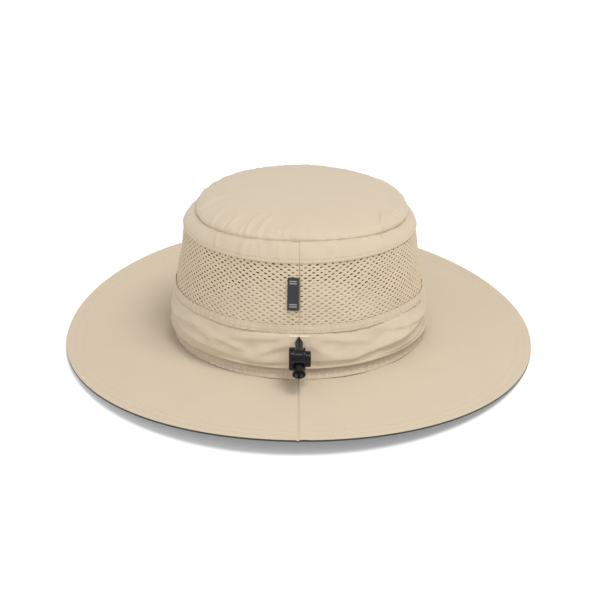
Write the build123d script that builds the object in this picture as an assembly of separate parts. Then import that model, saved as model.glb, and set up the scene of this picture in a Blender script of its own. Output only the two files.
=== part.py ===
from build123d import *
import math
import os

# Wide-brim sun hat with mesh vents and a drawcord at the back.
# Millimetres. +Z up, +Y towards the front of the hat, +X towards the wearer's right.
# The origin is on the surface that the brim stands on, under the middle of the hat.

# ---------------------------------------------------------------- driving sizes
BRIM_HALF_WIDTH = 162.0
BRIM_HALF_LENGTH = 182.0
BRIM_RISE = 8.0           # height of the rim's front and back above its two sides
SIDE_FLATNESS = 0.05      # how gradually the rim leaves the surface beside its two low sides
UNDERSIDE_THICK = 0.6
CORE_THICK = 0.7
TOP_THICK = 0.6
CORE_INSET = 2.5          # the stiffening core stops short of the rim
PLY_GAP = 0.05
BRIM_THICK = UNDERSIDE_THICK + CORE_THICK + TOP_THICK + 2 * PLY_GAP
BRIM_HOLE = (85.2, 101.7)  # half width and half length of the hole for the head
OVAL_POINTS = 48

CROWN_PITCH = 4.0         # the crown leans forward
CROWN_BASE_Y = -5.0
CROWN_BASE_Z = 9.8

FABRIC = 1.0              # woven cloth with its seam allowances
MESH_THICK = 0.9
BINDING_THICK = 0.6

# Outer surface of the crown: (height, half width, half length), in the crown's own frame.
SEAM_BASE = (0.3, 86.5, 103.0)
BASE_BAND_TOP = (6.0, 85.6, 99.6)
BAND_BOTTOM = (6.2, 86.6, 100.4)
BAND_BULGE = (17.0, 87.7, 101.2)
BAND_TOP = (29.8, 86.2, 97.8)
MESH_BOTTOM = (30.0, 85.7, 97.2)
MESH_TOP = (75.8, 79.2, 89.9)
UPPER_BOTTOM = (76.0, 79.5, 90.2)
UPPER_TOP = (88.8, 74.6, 85.8)
TIP_SEAM = 89.0
TIP_HEIGHT = 11.0

FRONT_PANEL_HALF_ANGLE = 42.0
TAPE_HEIGHT = 5.2
TAPE_THICK = 0.6

SWEATBAND_THICK = 1.2
SWEATBAND = [(-2.2, 84.9, 101.4), (6.0, 84.0, 98.2), (12.0, 83.4, 97.0), (33.0, 83.0, 94.4)]

CORD_RADIUS = 1.1
CORD_HEIGHT = 24.3        # of the cord's tunnel and exit above the base seam
CORD_RING = (84.5, 97.0)
CORD_RING_END_X = 2.9
STRAND_SPACING = 2.3
STRAND_MID_X = 0.3
EXIT_SLIT = (5.2, 5.0)    # width and height

EXIT_POINT = (-102.3, 41.0)   # y and z where the strands leave the band
CORD_DROP = 24.2          # degrees below level that the strands point
STRAND_INSIDE = 2.3       # length of strand inside the slit
STRAND_END = 28.9         # all the distances below are from the exit, along the strands
LOCK_CENTRE = 13.9
CORD_END_START = 21.9
CORD_END_LENGTH = 5.2
KNOT_CENTRE = 26.4
KNOT_RADIUS = 1.6

# Spring lock. Positions along X, from its left end cap to its button on the right.
LOCK_LEFT = -6.3
CAP_RIGHT = -2.25
RIM_LEFT = 2.85
RIM_RIGHT = 4.4
BUTTON_RIGHT = 7.9
CAP_RADIUS = 7.6
RIM_RADIUS = 7.4
WAIST_RADIUS = 6.5
BORE_RADIUS = 5.45
BORE_END = -5.65
PLUNGER_RADIUS = 5.3
PLUNGER_BACK = -3.3
PLUNGER_TRAVEL = 1.6
PASSAGE_HEIGHT = 5.2
PLUNGER_PASSAGE_HEIGHT = 4.0
SPRING_RADIUS = 4.2
SPRING_WIRE = 0.35
SPRING_TURNS = 2.0

LABEL_SIZE = (7.9, 21.0, 0.6)   # width, height and thickness
LABEL_BOTTOM = 45.0
LABEL_GAP = 0.45
CARE_LABEL = (13.0, 31.0)       # bottom and top of the care label
CARE_LABEL_X = (6.0, 40.0)
CARE_LABEL_THICK = 0.4
BARTACK = (11.5, 1.2, 0.8)      # width, height and thickness
BARTACK_HEIGHT = 28.9
BARTACK_STAND = 0.3

FAR = 250.0               # longer than anything in the hat

# ---------------------------------------------------------------- frames
crown_frame = Location((0, CROWN_BASE_Y, CROWN_BASE_Z), (-CROWN_PITCH, 0, 0))
cord_frame = Location((STRAND_MID_X, *EXIT_POINT), (90 + CORD_DROP, 0, 0))  # +Z along the strands


def along_cord(distance):
    return cord_frame * Pos(0, 0, distance)


# ---------------------------------------------------------------- helpers
def oval_body(sections, ruled):
    """Solid through horizontal ovals given as (height, half width, half length)."""
    faces = [Pos(0, 0, height) * Ellipse(half_x, half_y) for height, half_x, half_y in sections]
    return loft(faces, ruled=ruled)


def oval_ring(sections, thickness, ruled=True):
    """Wall of the given thickness inside the ovals, straight between them where ruled."""
    inner = [(height, half_x - thickness, half_y - thickness) for height, half_x, half_y in sections]
    return oval_body(sections, ruled) - oval_body(inner, ruled)


def between(low, high, height):
    """Oval of a straight wall from low to high, at the given height."""
    share = (height - low[0]) / (high[0] - low[0])
    return (height, low[1] + share * (high[1] - low[1]), low[2] + share * (high[2] - low[2]))


def front_wedge(half_angle):
    """Tall wedge about the front, for cutting walls at the front panel's seams."""
    angle = math.radians(half_angle)
    side = FAR * math.sin(angle)
    reach = FAR * math.cos(angle)
    return extrude(Polygon((0, 0), (side, reach), (-side, reach), align=None), FAR)


def block(low, high):
    """Box between two corners."""
    size = [b - a for a, b in zip(low, high)]
    return Pos(*low) * Box(*size, align=(Align.MIN, Align.MIN, Align.MIN))


def rod_x(radius, left, right):
    """Cylinder along X."""
    upright = Cylinder(radius, right - left, align=(Align.CENTER, Align.CENTER, Align.MIN))
    return Pos(left, 0, 0) * Rot(0, 90, 0) * upright


# ---------------------------------------------------------------- crown
def make_crown_tip():
    """Shallow oval dome with a rounded shoulder at its seam."""
    half_x, half_y = UPPER_TOP[1], UPPER_TOP[2]
    outer = Spline((half_x, 0, TIP_SEAM), (0, 0, TIP_SEAM + TIP_HEIGHT), tangents=[(-0.5, 0, 1), (-1, 0, 0)])
    inner = Spline((half_x - FABRIC, 0, TIP_SEAM), (0, 0, TIP_SEAM + TIP_HEIGHT - FABRIC),
                   tangents=[(-0.5, 0, 1), (-1, 0, 0)])
    hem = Line(inner @ 0, outer @ 0)
    middle = Line(outer @ 1, inner @ 1)
    section = make_face([outer, middle, inner, hem])
    dome = revolve(section, Axis.Z, 360)
    return scale(dome, by=(1, half_y / half_x, 1))


def make_vent_wall():
    return oval_ring([MESH_BOTTOM, MESH_TOP], MESH_THICK)


def make_mesh_panel(side):
    """One vent panel, from the centre back seam to the front panel; side is -1 left or +1 right."""
    half = block((0.05, -FAR, 0), (FAR, FAR, FAR)) if side > 0 else block((-FAR, -FAR, 0), (-0.05, FAR, FAR))
    return (make_vent_wall() & half) - front_wedge(FRONT_PANEL_HALF_ANGLE)


def make_front_panel():
    return make_vent_wall() & front_wedge(FRONT_PANEL_HALF_ANGLE - 0.1)


def make_mesh_tape():
    """Narrow strip over the lower edge of the vents, ending at the front panel."""
    low = between(MESH_BOTTOM, MESH_TOP, MESH_BOTTOM[0])
    high = between(MESH_BOTTOM, MESH_TOP, MESH_BOTTOM[0] + TAPE_HEIGHT)
    outside = [(height, x + TAPE_THICK + 0.05, y + TAPE_THICK + 0.05) for height, x, y in (low, high)]
    return oval_ring(outside, TAPE_THICK) - front_wedge(FRONT_PANEL_HALF_ANGLE)


def make_upper_band():
    return oval_ring([UPPER_BOTTOM, UPPER_TOP], FABRIC)


def make_lower_band():
    """Cord tunnel round the crown, with the slit that the cord comes out of."""
    width, height = EXIT_SLIT
    slit = block((-width / 2 + STRAND_MID_X, -FAR, CORD_HEIGHT - height / 2),
                 (width / 2 + STRAND_MID_X, 0, CORD_HEIGHT + height / 2))
    return oval_ring([BAND_BOTTOM, BAND_BULGE, BAND_TOP], FABRIC, ruled=False) - slit


def make_base_band():
    return oval_ring([SEAM_BASE, BASE_BAND_TOP], FABRIC)


def make_sweatband():
    return oval_ring(SWEATBAND, SWEATBAND_THICK)


def make_tip_seam_binding():
    """Tape inside, over the seam allowance under the tip."""
    inset = FABRIC + 0.05
    low = between(UPPER_BOTTOM, UPPER_TOP, UPPER_TOP[0] - 6.0)
    return oval_ring([(h, x - inset, y - inset) for h, x, y in (low, UPPER_TOP)], BINDING_THICK)


def make_back_seam_binding():
    """Tape inside, down the centre back seam, from the tip binding to the sweatband."""
    inset = MESH_THICK + 0.05
    low = between(MESH_BOTTOM, MESH_TOP, 34.0)
    high = between(MESH_BOTTOM, MESH_TOP, 74.0)
    wall = oval_ring([(h, x - inset, y - inset) for h, x, y in (low, high)], BINDING_THICK)
    return wall & block((-4.5, -FAR, 0), (4.5, 0, FAR))


def make_care_label():
    """Blank woven label sewn flat to the inside of the sweatband."""
    low = between(SWEATBAND[2], SWEATBAND[3], CARE_LABEL[0])
    high = between(SWEATBAND[2], SWEATBAND[3], CARE_LABEL[1])
    inset = SWEATBAND_THICK + 0.1
    wall = oval_ring([(h, x - inset, y - inset) for h, x, y in (low, high)], CARE_LABEL_THICK)
    return wall & block((CARE_LABEL_X[0], -FAR, 0), (CARE_LABEL_X[1], 0, FAR))


# ---------------------------------------------------------------- brim
def rim_height(angle):
    """Height of the rim's lower edge at an angle from +X, flat beside its two low sides."""
    lean = math.sin(angle) ** 2
    return BRIM_RISE * lean * lean * (1 + SIDE_FLATNESS) / (lean + SIDE_FLATNESS)


def oval_curve(half_x, half_y, height):
    """Closed oval that starts at +X, with a height for each angle."""
    points = []
    for step in range(OVAL_POINTS):
        angle = 2 * math.pi * step / OVAL_POINTS
        points.append(Vector(half_x * math.cos(angle), half_y * math.sin(angle), height(angle)))
    return Edge.make_spline(points, periodic=True)


def brim_layer(bottom, thickness):
    """One ply of the brim, with its lower face `bottom` above the brim's own lower face."""
    rim = oval_curve(BRIM_HALF_WIDTH, BRIM_HALF_LENGTH, rim_height)
    hole = crown_frame * oval_curve(*BRIM_HOLE, lambda angle: 0.0)
    lower_face = Face.make_surface_from_curves(Pos(0, 0, bottom - BRIM_THICK) * hole, Pos(0, 0, bottom) * rim)
    return Solid.extrude(lower_face, Vector(0, 0, thickness))


def make_brim_core():
    """Stiff interlining between the plies, short of the rim's seam."""
    outline = Ellipse(BRIM_HALF_WIDTH - CORE_INSET, BRIM_HALF_LENGTH - CORE_INSET)
    return brim_layer(UNDERSIDE_THICK + PLY_GAP, CORE_THICK) & extrude(outline, FAR)


# ---------------------------------------------------------------- drawcord
def make_drawcord():
    """Cord round the tunnel, from one side of the slit to the other."""
    half_x, half_y = CORD_RING
    gap = math.degrees(CORD_RING_END_X / half_x)
    round_crown = EllipticalCenterArc((0, 0), half_x, half_y, gap - 90, arc_size=360 - 2 * gap)
    path = Pos(0, 0, CORD_HEIGHT) * round_crown
    section = Plane(origin=path @ 0, z_dir=path % 0) * Circle(CORD_RADIUS)
    return sweep(section, path=path)


def make_strand(side):
    """One free end of the drawcord, drawn straight through the lock into the cord end."""
    start = along_cord(-STRAND_INSIDE) * Pos(side * STRAND_SPACING / 2, 0, 0)
    length = STRAND_INSIDE + STRAND_END
    return start * Cylinder(CORD_RADIUS, length, align=(Align.CENTER, Align.CENTER, Align.MIN))


def make_cord_end():
    """Bell that hides the knots, with its open mouth away from the lock."""
    shell = Cone(3.4, 4.3, CORD_END_LENGTH, align=(Align.CENTER, Align.CENTER, Align.MIN))
    shell = fillet(shell.edges().group_by(Axis.Z)[0], 0.8)
    hollow = Pos(0, 0, 2.0) * Cylinder(3.45, CORD_END_LENGTH, align=(Align.CENTER, Align.CENTER, Align.MIN))
    holes = [Pos(side * STRAND_SPACING / 2, 0, -1) * Cylinder(CORD_RADIUS + 0.03, 6) for side in (-1, 1)]
    return along_cord(CORD_END_START) * (shell - hollow - holes)


def make_cord_knots():
    knots = [Pos(side * 1.65, 0, 0) * Sphere(KNOT_RADIUS) for side in (-1, 1)]
    return along_cord(KNOT_CENTRE) * Compound(knots)


def make_bartack():
    """Close zigzag stitching across the top of the cord slit."""
    width, height, thick = BARTACK
    surface = between(BAND_BULGE, BAND_TOP, BARTACK_HEIGHT)[2] + BARTACK_STAND
    bar = Pos(STRAND_MID_X, -surface - thick / 2, BARTACK_HEIGHT) * Box(width, thick, height)
    return fillet(bar.edges().filter_by(Axis.X), 0.3)


# ---------------------------------------------------------------- cord lock
lock_origin = along_cord(LOCK_CENTRE)
lock_frame = Pos(0, lock_origin.position.Y, lock_origin.position.Z)


def passage(left, right, height):
    """Cutter for the cord's way through the lock."""
    tilt = Rot(90 + CORD_DROP, 0, 0)
    return Pos((left + right) / 2, 0, 0) * tilt * Box(right - left, height, 4 * CAP_RADIUS)


def make_lock_body():
    """End cap, waist and rim in one moulding, bored from the right for the plunger."""
    cap = rod_x(CAP_RADIUS, LOCK_LEFT, CAP_RIGHT)
    cap = fillet(cap.edges().filter_by(GeomType.CIRCLE), 0.9)
    waist = rod_x(WAIST_RADIUS, CAP_RIGHT - 1, RIM_LEFT + 1)
    rim = rod_x(RIM_RADIUS, RIM_LEFT, RIM_RIGHT)
    rim = fillet(rim.edges().filter_by(GeomType.CIRCLE), 0.4)
    bore = rod_x(BORE_RADIUS, BORE_END, RIM_RIGHT + 1)
    return cap + waist + rim - bore - passage(CAP_RIGHT, RIM_LEFT, PASSAGE_HEIGHT)


def make_lock_plunger():
    """Piston with the button at its right end; the cord passes through its slot."""
    piston = rod_x(PLUNGER_RADIUS, PLUNGER_BACK, BUTTON_RIGHT)
    piston = fillet(piston.edges().filter_by(GeomType.CIRCLE).sort_by(Axis.X)[-1], 1.0)
    return piston - passage(CAP_RIGHT, RIM_LEFT + PLUNGER_TRAVEL, PLUNGER_PASSAGE_HEIGHT)


def make_lock_spring():
    """Two-turn spring between the end cap and the plunger."""
    height = PLUNGER_BACK - BORE_END - 2 * SPRING_WIRE
    coil = Helix(height / SPRING_TURNS, height, SPRING_RADIUS)
    section = Plane(origin=coil @ 0, z_dir=coil % 0) * Circle(SPRING_WIRE / 2)
    wire = sweep(section, path=coil)
    return Pos(BORE_END + SPRING_WIRE, 0, 0) * Rot(0, 90, 0) * wire


# ---------------------------------------------------------------- label
def make_woven_label():
    """Folded flag label, caught in the centre back seam by its right edge."""
    width, height, thick = LABEL_SIZE
    low = between(MESH_BOTTOM, MESH_TOP, LABEL_BOTTOM)
    slope = math.degrees(math.atan2(MESH_BOTTOM[2] - MESH_TOP[2], MESH_TOP[0] - MESH_BOTTOM[0]))
    stand = Pos(-width / 2 - 0.1, -low[2] - LABEL_GAP - thick / 2, LABEL_BOTTOM)
    return stand * Rot(-slope, 0, 0) * Box(width, thick, height, align=(Align.CENTER, Align.CENTER, Align.MIN))


# ---------------------------------------------------------------- write the parts
nodes = {
    "crown_tip": crown_frame * make_crown_tip(),
    "upper_band": crown_frame * make_upper_band(),
    "mesh_panel_left": crown_frame * make_mesh_panel(-1),
    "mesh_panel_right": crown_frame * make_mesh_panel(1),
    "front_panel": crown_frame * make_front_panel(),
    "mesh_tape": crown_frame * make_mesh_tape(),
    "lower_band": crown_frame * make_lower_band(),
    "base_band": crown_frame * make_base_band(),
    "sweatband": crown_frame * make_sweatband(),
    "tip_seam_binding": crown_frame * make_tip_seam_binding(),
    "back_seam_binding": crown_frame * make_back_seam_binding(),
    "care_label": crown_frame * make_care_label(),
    "brim_underside": brim_layer(0, UNDERSIDE_THICK),
    "brim_core": make_brim_core(),
    "brim_top": brim_layer(BRIM_THICK - TOP_THICK, TOP_THICK),
    "drawcord": crown_frame * make_drawcord(),
    "exit_bartack": crown_frame * make_bartack(),
    "strand_left": make_strand(-1),
    "strand_right": make_strand(1),
    "cord_end": make_cord_end(),
    "cord_knots": make_cord_knots(),
    "lock_body": lock_frame * make_lock_body(),
    "lock_plunger": lock_frame * make_lock_plunger(),
    "lock_spring": lock_frame * make_lock_spring(),
    "woven_label": crown_frame * make_woven_label(),
}

os.makedirs("parts", exist_ok=True)
for name, shape in nodes.items():
    export_step(shape, f"parts/{name}.step")
    print(f"{name}: {shape.volume:.1f} mm3")
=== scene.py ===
import bpy
import math
import numpy as np
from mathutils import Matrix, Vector


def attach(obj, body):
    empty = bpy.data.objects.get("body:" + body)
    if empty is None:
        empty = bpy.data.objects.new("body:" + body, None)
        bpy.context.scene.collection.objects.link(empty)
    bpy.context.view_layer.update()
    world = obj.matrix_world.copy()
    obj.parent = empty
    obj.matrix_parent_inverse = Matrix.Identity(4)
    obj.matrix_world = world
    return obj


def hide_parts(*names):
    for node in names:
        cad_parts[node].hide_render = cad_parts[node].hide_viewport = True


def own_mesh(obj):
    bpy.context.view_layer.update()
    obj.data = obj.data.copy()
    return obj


# Wide-brim sun hat with mesh vents, seen from behind. Lengths are millimetres until a mesh is made.
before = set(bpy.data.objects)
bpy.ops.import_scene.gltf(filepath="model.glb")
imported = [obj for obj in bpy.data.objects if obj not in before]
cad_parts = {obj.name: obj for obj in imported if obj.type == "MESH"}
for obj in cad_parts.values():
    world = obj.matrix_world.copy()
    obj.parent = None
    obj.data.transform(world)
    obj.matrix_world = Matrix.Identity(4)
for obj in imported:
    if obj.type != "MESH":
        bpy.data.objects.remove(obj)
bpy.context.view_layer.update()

MM = 0.001

# ---------------------------------------------------------------- sizes, as in the CAD
CROWN_PITCH = math.radians(4.0)
CROWN_BASE = (-5.0, 9.8)            # y and z of the crown's own origin
CROWN_UP = np.array([0, math.sin(CROWN_PITCH), math.cos(CROWN_PITCH)])
SEAM_BASE = (0.3, 86.5, 103.0)      # height, half width and half length of the outer face
BASE_BAND_TOP = (6.0, 85.6, 99.6)
BAND_BOTTOM = (6.2, 86.6, 100.4)
BAND_TOP = (29.8, 86.2, 97.8)
MESH_BOTTOM = (30.0, 85.7, 97.2)
MESH_TOP = (75.8, 79.2, 89.9)
UPPER_BOTTOM = (76.0, 79.5, 90.2)
UPPER_TOP = (88.8, 74.6, 85.8)
TIP_SEAM = 89.0
TIP_HEIGHT = 11.0
SWEATBAND = [(-2.2, 84.9, 101.4), (6.0, 84.0, 98.2), (12.0, 83.4, 97.0), (33.0, 83.0, 94.4)]

BRIM_HALF = (162.0, 182.0)
BRIM_HOLE = (85.2, 101.7)
BRIM_RISE = 8.0
SIDE_FLATNESS = 0.05
BRIM_THICK = 2.0
RIM_ROWS = (5.4, 10.6)              # stitch rows, inward from the rim

FRONT_PANEL_HALF_ANGLE = math.radians(42.0)
CORD_HEIGHT = 24.3
CORD_DIAMETER = 2.2
CORD_RING = (84.5, 97.0)
EXIT = (-102.3, 41.0)               # y and z where the strands leave the band
CORD_DROP = math.radians(24.2)
STRAND_X = (-0.85, 1.45)
STRAND_INSIDE = 2.3
STRAND_END = 28.9
KNOT_CENTRE = 26.4
KNOT_X = (-1.35, 1.95)
LOCK_CENTRE = 13.9                  # along the strands
BORE_END = -5.65                    # x of the end cap's inner face, which the spring stands on
PLUNGER_BACK = -3.3
SPRING_RADIUS = 4.2
SPRING_WIRE = 0.35
SPRING_TURNS = 2.0
LABEL_SIZE = (7.9, 21.0)            # width and height
LABEL_BOTTOM = 45.0

FABRIC = 0.9
UPPER_HEM = 75.6                    # lower edge of the upper band, over the vents
UPPER_HEIGHTS = (UPPER_HEM, 88.7)   # lower and upper edges of the cloth pieces
VENT_HEIGHTS = (29.2, 76.6)
FRONT_HEIGHTS = (30.0, 75.9)
VENT_TAPE_HEIGHTS = (30.1, 35.2)
BAND_HEIGHTS = (7.3, 29.9)
BASE_HEIGHTS = (0.3, 7.8)
SWEATBAND_HEIGHTS = (-2.0, 32.8)
TIP_TAPE_HEIGHTS = (82.4, 88.0)
BACK_TAPE_HEIGHTS = (34.2, 73.8)
BACK_TAPE_HALF = 4.5
CARE_LABEL_X = (6.0, 40.0)
CARE_LABEL_HEIGHTS = (13.0, 31.0)
END_GAP = 0.03                      # between a seam and the end of a strip that meets it
HOLE_PITCH = (2.8, 1.72)            # of the vents' knit, round the crown and up it
KNIT_SWELL = 0.30                   # half thickness of the knit between its holes
REAR_SHORTER = 1.2                  # how much shorter the brim is at the back, and how much higher
REAR_LIFT = 1.4
FRONT_WARP = 3.0                    # one front side of the rim up, the other down
TIP_RINGS = 90                      # rows of the tip's mesh from its seam to its middle
SEAM_ANGLE = 0.03                   # half width, in radians, of the fine mesh at the brim's seam
PLY_SPLIT = 1.3                     # height in the brim where the two cloths meet at the rim
TAPE_INSET = 1.7                    # of the tip's binding tape, from the upper band's wall
UPPER_ROWS = (77.2, 87.3)           # heights of the stitch rows on the bands
TAPE_ROWS = (31.0, 34.3)
BASE_ROW = 2.9
BARTACK_SPAN = (-5.7, 6.3)
BARTACK_HEIGHTS = (27.6, 28.7)
RIM_RADIUS = 172.0                  # mean radius of the rim
STITCH_PITCH = 2.9
STITCH_LENGTH = 2.2
THREAD_RADIUS = 0.2


# ---------------------------------------------------------------- positions on the hat
def crown(x, u, w):
    """Point of the crown's own frame, in the hat's."""
    c, s = math.cos(CROWN_PITCH), math.sin(CROWN_PITCH)
    x, u, w = np.broadcast_arrays(x, u, w)
    return np.stack([x, CROWN_BASE[0] + u * c + w * s, CROWN_BASE[1] - u * s + w * c], axis=-1)


def measure_round():
    """Angle from the centre back against the distance round the crown."""
    phi = np.linspace(-math.pi, math.pi, 2001)
    step = np.hypot(86.0 * np.cos(phi), 98.0 * np.sin(phi))
    s = np.concatenate([[0], np.cumsum((step[1:] + step[:-1]) / 2 * np.diff(phi))])
    return s - s[1000], phi


ROUND_S, ROUND_PHI = measure_round()
HALF_ROUND = ROUND_S[-1]


def wrapped(s):
    """The same place round the crown, counted from the centre back both ways."""
    return (s + HALF_ROUND) % (2 * HALF_ROUND) - HALF_ROUND


def angle_at(s):
    """Angle from the centre back at a distance round the crown, positive to the right."""
    return np.interp(s, ROUND_S, ROUND_PHI)


STITCH_COUNT = round(2 * HALF_ROUND / STITCH_PITCH)
FRONT_SEAM_S = float(np.interp(
    math.pi - math.atan(math.tan(FRONT_PANEL_HALF_ANGLE) * 97.2 / 85.7), ROUND_PHI, ROUND_S))


def wall_point(sections, s, w, out):
    """Point `out` from the oval wall through the sections, s round it and w up it."""
    heights = [section[0] for section in sections]
    half_x = np.interp(w, heights, [section[1] for section in sections])
    half_y = np.interp(w, heights, [section[2] for section in sections])
    phi = angle_at(s)
    nx, ny = np.sin(phi) / half_x, -np.cos(phi) / half_y
    size = np.hypot(nx, ny)
    return crown(half_x * np.sin(phi) + out * nx / size, -half_y * np.cos(phi) + out * ny / size, w)


def rim_height(phi):
    lean = np.cos(phi) ** 2
    return BRIM_RISE * lean * lean * (1 + SIDE_FLATNESS) / (lean + SIDE_FLATNESS)


def brim_point(phi, inward, z):
    """Point of the brim at an angle from the back, `inward` from the rim and z above its lower face."""
    hole = crown(BRIM_HOLE[0] * np.sin(phi), -BRIM_HOLE[1] * np.cos(phi), 0.0)
    hole = hole - [0, 0, BRIM_THICK]
    behind = np.clip(np.cos(phi), 0, 1)
    half_y = BRIM_HALF[1] - REAR_SHORTER * behind
    height = rim_height(phi) + REAR_LIFT * behind
    rim = np.stack([BRIM_HALF[0] * np.sin(phi), -half_y * np.cos(phi), height], axis=-1)
    share = (inward / np.linalg.norm(rim - hole, axis=-1))[..., None]
    point = rim + share * (hole - rim)
    warp = FRONT_WARP * np.sin(phi) * np.clip(np.cos(phi), -1, 0) * (1 - share[..., 0])
    return point + np.stack([0 * z, 0 * z, z + warp], axis=-1)


def brim_width(phi):
    return np.linalg.norm(brim_point(phi, 0 * phi, 0 * phi) - crown(
        BRIM_HOLE[0] * np.sin(phi), -BRIM_HOLE[1] * np.cos(phi), 0.0) + [0, 0, BRIM_THICK], axis=-1)


# ---------------------------------------------------------------- relief of the cloth
def waves(s, w, across, along, seed, count=16):
    """Smooth random relief, about -1 to 1, of that wavelength round the hat and up it."""
    rng = np.random.default_rng(seed)
    total = 0 * (s + w)
    for _ in range(count):
        turns = round(2 * HALF_ROUND / (across * rng.uniform(0.65, 1.6)))
        tilt = rng.normal() * 2 * math.pi / along
        total = total + np.sin(turns * math.pi * s / HALF_ROUND + tilt * w + rng.uniform(0, 6.28))
    return total / math.sqrt(2 * count)


def fold(s, w, start, end, height, above, below, bend=0.0):
    """Soft ridge from start to end, with its upper and lower slopes that wide."""
    along = np.array(end, float) - np.array(start, float)
    length = np.hypot(*along)
    along = along / length
    share = np.clip(((s - start[0]) * along[0] + (w - start[1]) * along[1]) / length, 0, 1)
    side = 1.0 if along[0] > 0 else -1.0
    across = side * (-(s - start[0]) * along[1] + (w - start[1]) * along[0])
    across = across - bend * 4 * share * (1 - share)
    slope = np.where(across > 0, above, below)
    return height * np.sin(math.pi * share) ** 0.8 * np.exp(-(across / slope) ** 2)


def groove(distance, depth, width):
    return -depth * np.exp(-(distance / width) ** 2)


def needle_holes(s):
    """1 where the needle went through the cloth and 0 midway between, round the crown."""
    return 0.5 + 0.5 * np.cos(s * math.pi * STITCH_COUNT / HALF_ROUND)


def stitched(s, distance, depth, width=0.55):
    """Groove along a row of stitches, deepest at its needle holes."""
    return groove(distance, depth, width) * (0.45 + 0.75 * needle_holes(s))


# ---------------------------------------------------------------- meshes
def add_mesh(name, points, faces, material, uv=None):
    """Smooth mesh from points in millimetres; uv gives each point's place on the flat cloth."""
    if isinstance(faces, np.ndarray):
        faces = faces.tolist()
    mesh = bpy.data.meshes.new(name)
    mesh.from_pydata((points * MM).tolist(), [], faces)
    mesh.shade_smooth()
    if uv is not None:
        layer = mesh.uv_layers.new(name="Cloth")
        corners = np.empty(len(mesh.loops), np.int32)
        mesh.loops.foreach_get("vertex_index", corners)
        layer.data.foreach_set("uv", (np.asarray(uv, np.float32)[corners] * MM).ravel())
    mesh.materials.append(material)
    piece = bpy.data.objects.new(name, mesh)
    bpy.context.scene.collection.objects.link(piece)
    return piece


def keep(piece, body, slot, *nodes):
    """Fix a finished piece to its body, in place of those CAD nodes."""
    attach(piece, body)
    if nodes:
        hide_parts(*nodes)
    return piece


def grid_faces(columns, rows, wrap_columns, wrap_rows):
    """Quads of a grid numbered column by column."""
    i = np.arange(columns if wrap_columns else columns - 1)
    j = np.arange(rows if wrap_rows else rows - 1)
    i, j = [a.ravel() for a in np.meshgrid(i, j, indexing="ij")]
    right, up = (i + 1) % columns, (j + 1) % rows
    return np.stack([i * rows + j, right * rows + j, right * rows + up, i * rows + up], axis=1)


def cloth_section(rows, thickness):
    """Closed section of a cloth strip: share of its height, depth into it and reach past its edge."""
    t = np.linspace(0, 1, rows)
    edge = [(1, 0.15, 0.3), (1, 0.5, 0.42), (1, 0.85, 0.3)]
    inside = [(share, 1, 0) for share in t[::-1]]
    bottom = [(0, 0.85, -0.3), (0, 0.5, -0.42), (0, 0.15, -0.3)]
    section = np.array([(share, 0, 0) for share in t] + edge + inside + bottom)
    return section[:, 0], section[:, 1] * thickness, section[:, 2] * thickness


def strip(name, place, span, heights, thickness, columns, rows, material):
    """Cloth strip; place(s, w, depth) gives its points. It has an end at each end of its span."""
    share, depth, reach = cloth_section(rows, thickness)
    s = np.linspace(span[0], span[1], columns)[:, None] + 0 * share
    w = heights[0] + share * (heights[1] - heights[0]) + reach + 0 * s
    points = place(wrapped(s), w, depth + 0 * s).reshape(-1, 3)
    count = len(share)
    faces = grid_faces(columns, count, False, True)[:, ::-1].tolist()
    faces.append(list(range(count)))
    faces.append([(columns - 1) * count + k for k in reversed(range(count))])
    return add_mesh(name, points, faces, material, np.stack([s, w - depth], axis=-1).reshape(-1, 2))


def stitches(name, starts, ends, ups, material, radius=THREAD_RADIUS):
    """One mesh of thread stitches, each from its start to its end with its ends sunk in the cloth."""
    share = np.array([-0.06, 0.0, 0.12, 0.35, 0.65, 0.88, 1.0, 1.06])
    sink = np.array([-1.5, -0.75, 0.2, 0.5, 0.5, 0.2, -0.75, -1.5]) * radius
    girth = np.array([0.35, 0.85, 1, 1, 1, 1, 0.85, 0.35]) * radius
    sides = np.linspace(0, 2 * math.pi, 8)[:-1]
    along = ends - starts
    across = np.cross(along, ups)
    across /= np.linalg.norm(across, axis=1, keepdims=True)
    middle = starts[:, None] + along[:, None] * share[:, None] + ups[:, None] * sink[:, None]
    ring = across[:, None, None] * np.cos(sides)[:, None] + ups[:, None, None] * np.sin(sides)[:, None]
    points = middle[:, :, None] + ring * girth[:, None, None]
    one = grid_faces(len(share), len(sides), False, True)
    size = len(share) * len(sides)
    faces = (one[None] + size * np.arange(len(starts))[:, None, None]).reshape(-1, 4)
    return add_mesh(name, points.reshape(-1, 3), faces, material)


def row(path, low, high, seed, pitch=2 * HALF_ROUND / STITCH_COUNT, lift=0.14):
    """Starts, ends and upward directions of the stitches between two places on path(s, lift)."""
    rng = np.random.default_rng(seed)
    holes = np.arange(math.ceil(low / pitch), math.floor(high / pitch)) * pitch
    first = holes + (pitch - STITCH_LENGTH) / 2 + rng.uniform(-0.08, 0.08, len(holes))
    last = first + STITCH_LENGTH
    up = path((first + last) / 2, lift + 1.0) - path((first + last) / 2, lift)
    up /= np.linalg.norm(up, axis=1, keepdims=True)
    return path(first, lift), path(last, lift), up


def joined(*rows):
    return [np.concatenate(parts) for parts in zip(*rows)]


# ---------------------------------------------------------------- materials
def new_material(name, colour, roughness, sheen=0.0):
    material = bpy.data.materials.new(name)
    material.use_nodes = True
    shader = material.node_tree.nodes["Principled BSDF"]
    shader.inputs["Base Color"].default_value = (*colour, 1)
    shader.inputs["Roughness"].default_value = roughness
    shader.inputs["Sheen Weight"].default_value = sheen
    return material


def node(material, kind, inputs=None, **settings):
    made = material.node_tree.nodes.new(kind)
    for key, value in settings.items():
        setattr(made, key, value)
    for key, value in (inputs or {}).items():
        made.inputs[key].default_value = value
    return made


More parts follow.
